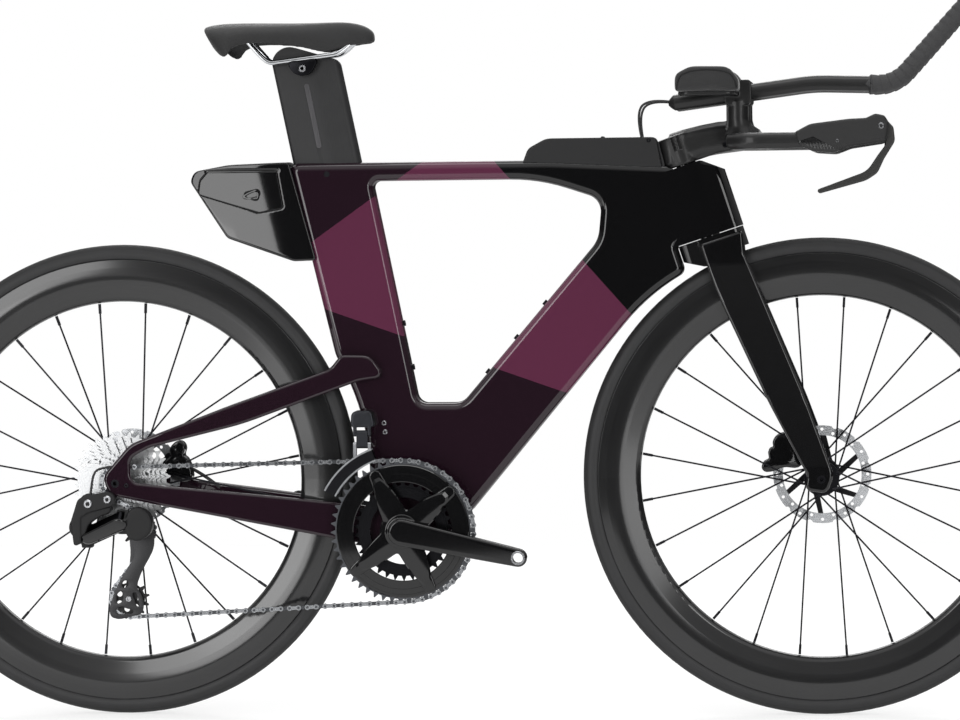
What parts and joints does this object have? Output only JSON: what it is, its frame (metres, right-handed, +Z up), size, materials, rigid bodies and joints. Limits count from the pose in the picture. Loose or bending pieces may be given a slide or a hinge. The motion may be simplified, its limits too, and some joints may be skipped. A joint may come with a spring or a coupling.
{
  "type": "time trial bicycle",
  "caption": "Time trial bicycle: aero frame, disc brakes, deep rims, chain drive, base bar with arm rests and bent extensions, storage boxes.",
  "frame": {"origin": "on the ground halfway between the two axles, in the middle plane", "axes": "+X forward, +Y to the rider's left (drive side at -Y), +Z up"},
  "size_m": [1.6809, 0.428, 1.038],
  "materials": {
    "frame_paint": "gloss paint over carbon",
    "carbon_gloss": "gloss black",
    "carbon_satin": "satin black",
    "rim_carbon": "satin carbon",
    "tyre_rubber": "matte",
    "rubber": "matte",
    "foam": "matte",
    "saddle_cover": "matte",
    "alloy_black": "anodised black",
    "alloy_grey": "satin grey",
    "steel_bright": "bright",
    "steel_black": "black",
    "chrome_rail": "polished",
    "plastic_black": "matte"
  },
  "bodies": {
    "frame": {"frame": "frame_paint", "frame_bearings": "steel_bright", "derailleur_hanger": "alloy_black", "rear_thru_axle": "alloy_black", "frame_screws": "steel_black", "storage_box": "carbon_gloss", "bento_box": "carbon_satin", "rear_caliper": "alloy_black", "front_derailleur_body": "alloy_grey", "rear_derailleur_bracket": "alloy_black", "chain": "steel_bright", "rear_cables": "rubber"},
    "storage_door": {"storage_door": "carbon_gloss"},
    "bento_lid": {"bento_lid": "rubber"},
    "rear_pad_inner": {"rear_pad_inner": "steel_black"},
    "rear_pad_outer": {"rear_pad_outer": "steel_black"},
    "front_derailleur_link": {"front_derailleur_link": "alloy_grey"},
    "front_derailleur_cage": {"front_derailleur_cage": "steel_bright"},
    "rear_derailleur_outer_link": {"rear_derailleur_outer_link": "alloy_black"},
    "rear_derailleur_inner_link": {"rear_derailleur_inner_link": "alloy_black"},
    "rear_derailleur_knuckle": {"rear_derailleur_knuckle": "alloy_grey"},
    "rear_derailleur_cage": {"rear_derailleur_cage": "alloy_grey"},
    "guide_pulley": {"guide_pulley": "plastic_black"},
    "tension_pulley": {"tension_pulley": "plastic_black"},
    "seatpost": {"seatpost": "carbon_satin", "saddle_clamp": "alloy_black"},
    "saddle": {"saddle_rails": "chrome_rail", "saddle": "saddle_cover"},
    "steering": {"fork": "carbon_gloss", "front_thru_axle": "alloy_black", "front_caliper": "alloy_black", "stem": "carbon_satin", "base_bar": "carbon_satin", "arm_rest_supports": "alloy_black", "arm_pads": "foam", "extensions": "carbon_satin", "extension_tape": "rubber", "shifter_bodies": "plastic_black", "lever_bodies": "rubber", "cockpit_wires": "rubber"},
    "front_pad_inner": {"front_pad_inner": "steel_black"},
    "front_pad_outer": {"front_pad_outer": "steel_black"},
    "shift_button_left": {"shift_button_left": "rubber"},
    "shift_button_right": {"shift_button_right": "rubber"},
    "brake_lever_left": {"brake_lever_left": "alloy_black"},
    "brake_lever_right": {"brake_lever_right": "alloy_black"},
    "front_wheel": {"front_tyre": "tyre_rubber", "front_rim": "rim_carbon", "front_spokes": "steel_black", "front_hub": "alloy_black", "front_rotor": "steel_bright"},
    "rear_wheel": {"rear_tyre": "tyre_rubber", "rear_rim": "rim_carbon", "rear_spokes": "steel_black", "rear_hub": "alloy_black", "rear_rotor": "steel_bright"},
    "cassette": {"cassette": "steel_bright"},
    "crank": {"crank_right": "alloy_black", "crank_left": "alloy_black", "chainrings": "alloy_black"}
  },
  "joints": [
    {"name": "steering", "type": "hinge", "parent": "frame", "child": "steering", "pos_m": [0.34589, 0, 0.682], "axis": [-0.309, 0, 0.9511], "range_deg": [-45, 45], "deforming": ["cockpit_wires"]},
    {"name": "front_wheel_spin", "type": "hinge", "parent": "steering", "child": "front_wheel", "pos_m": [0.5015, 0, 0.339], "axis": [0, 1, 0], "continuous": true},
    {"name": "rear_wheel_spin", "type": "hinge", "parent": "frame", "child": "rear_wheel", "pos_m": [-0.5015, 0, 0.339], "axis": [0, 1, 0], "continuous": true},
    {"name": "crank_spin", "type": "hinge", "parent": "frame", "child": "crank", "pos_m": [-0.09279, 0, 0.267], "axis": [0, 1, 0], "continuous": true, "deforming": ["chain"]},
    {"name": "cassette_spin", "type": "hinge", "parent": "frame", "child": "cassette", "pos_m": [-0.5015, -0.0655, 0.339], "axis": [0, 1, 0], "continuous": true, "deforming": ["chain"]},
    {"name": "rear_derailleur_outer_pivot", "type": "hinge", "parent": "frame", "child": "rear_derailleur_outer_link", "pos_m": [-0.54055, -0.07455, 0.26932], "axis": [0, 0.7604, 0.6494], "range_deg": [0, 62], "stiffness_Nm_per_rad": 2, "deforming": ["chain"]},
    {"name": "rear_derailleur_inner_pivot", "type": "hinge", "parent": "frame", "child": "rear_derailleur_inner_link", "pos_m": [-0.54055, -0.06545, 0.25868], "axis": [0, 0.7604, 0.6494], "range_deg": [0, 62], "deforming": ["chain"]},
    {"name": "rear_derailleur_knuckle_pivot", "type": "hinge", "parent": "rear_derailleur_outer_link", "child": "rear_derailleur_knuckle", "pos_m": [-0.4925, -0.09271, 0.29059], "axis": [0, 0.7604, 0.6494], "range_deg": [-62, 0], "deforming": ["chain"]},
    {"name": "rear_derailleur_cage_pivot", "type": "hinge", "parent": "rear_derailleur_knuckle", "child": "rear_derailleur_cage", "pos_m": [-0.4705, -0.0655, 0.272], "axis": [0, 1, 0], "range_deg": [-40, 35], "stiffness_Nm_per_rad": 1.2, "deforming": ["chain"]},
    {"name": "guide_pulley_spin", "type": "hinge", "parent": "rear_derailleur_cage", "child": "guide_pulley", "pos_m": [-0.4705, -0.0655, 0.272], "axis": [0, 1, 0], "continuous": true, "deforming": ["chain"]},
    {"name": "tension_pulley_spin", "type": "hinge", "parent": "rear_derailleur_cage", "child": "tension_pulley", "pos_m": [-0.48584, -0.0655, 0.17318], "axis": [0, 1, 0], "continuous": true, "deforming": ["chain"]},
    {"name": "front_derailleur_pivot", "type": "hinge", "parent": "frame", "child": "front_derailleur_link", "pos_m": [-0.14999, -0.042, 0.407], "axis": [1, 0, 0], "range_deg": [0, 22], "stiffness_Nm_per_rad": 1.5, "deforming": ["chain"]},
    {"name": "front_derailleur_cage_pivot", "type": "hinge", "parent": "front_derailleur_link", "child": "front_derailleur_cage", "pos_m": [-0.14999, -0.042, 0.389], "axis": [1, 0, 0], "range_deg": [-22, 0], "deforming": ["chain"]},
    {"name": "brake_lever_left", "type": "hinge", "parent": "steering", "child": "brake_lever_left", "pos_m": [0.58987, 0.2, 0.833], "axis": [0, 1, 0], "range_deg": [0, 14], "stiffness_Nm_per_rad": 3},
    {"name": "brake_lever_right", "type": "hinge", "parent": "steering", "child": "brake_lever_right", "pos_m": [0.58987, -0.2, 0.833], "axis": [0, 1, 0], "range_deg": [0, 14], "stiffness_Nm_per_rad": 3},
    {"name": "front_pad_inner_slide", "type": "slide", "parent": "steering", "child": "front_pad_inner", "axis": [0, 1, 0], "range_m": [0, 0.0003]},
    {"name": "front_pad_outer_slide", "type": "slide", "parent": "steering", "child": "front_pad_outer", "axis": [0, -1, 0], "range_m": [0, 0.0003]},
    {"name": "rear_pad_inner_slide", "type": "slide", "parent": "frame", "child": "rear_pad_inner", "axis": [0, 1, 0], "range_m": [0, 0.0003]},
    {"name": "rear_pad_outer_slide", "type": "slide", "parent": "frame", "child": "rear_pad_outer", "axis": [0, -1, 0], "range_m": [0, 0.0003]},
    {"name": "shift_button_left", "type": "slide", "parent": "steering", "child": "shift_button_left", "axis": [0, 1, 0], "range_m": [0, 0.0012], "stiffness_N_per_m": 400},
    {"name": "shift_button_right", "type": "slide", "parent": "steering", "child": "shift_button_right", "axis": [0, -1, 0], "range_m": [0, 0.0012], "stiffness_N_per_m": 400},
    {"name": "seatpost_slide", "type": "slide", "parent": "frame", "child": "seatpost", "axis": [-0.1977, 0, 0.9803], "range_m": [-0.02, 0.05]},
    {"name": "saddle_slide", "type": "slide", "parent": "seatpost", "child": "saddle", "axis": [0.9936, 0, 0.1132], "range_m": [-0.015, 0.015]},
    {"name": "storage_door_hinge", "type": "hinge", "parent": "frame", "child": "storage_door", "pos_m": [-0.32079, -0.0248, 0.781], "axis": [-1, 0, 0], "range_deg": [0, 100]},
    {"name": "bento_lid_hinge", "type": "hinge", "parent": "frame", "child": "bento_lid", "pos_m": [0.19521, 0, 0.823], "axis": [0, 1, 0], "range_deg": [0, 110]}
  ],
  "couplings": [
    {"joint": "cassette_spin", "follows": "crank_spin", "ratio": 4.5455},
    {"joint": "guide_pulley_spin", "follows": "crank_spin", "ratio": -4.5455},
    {"joint": "tension_pulley_spin", "follows": "crank_spin", "ratio": 3.8462},
    {"joint": "rear_derailleur_inner_pivot", "follows": "rear_derailleur_outer_pivot", "ratio": 1},
    {"joint": "rear_derailleur_knuckle_pivot", "follows": "rear_derailleur_outer_pivot", "ratio": -1},
    {"joint": "front_derailleur_cage_pivot", "follows": "front_derailleur_pivot", "ratio": -1},
    {"joint": "front_pad_inner_slide", "follows": "brake_lever_left", "m_per_rad": 0.0012278},
    {"joint": "front_pad_outer_slide", "follows": "brake_lever_left", "m_per_rad": 0.0012278},
    {"joint": "rear_pad_inner_slide", "follows": "brake_lever_right", "m_per_rad": 0.0012278},
    {"joint": "rear_pad_outer_slide", "follows": "brake_lever_right", "m_per_rad": 0.0012278}
  ]
}
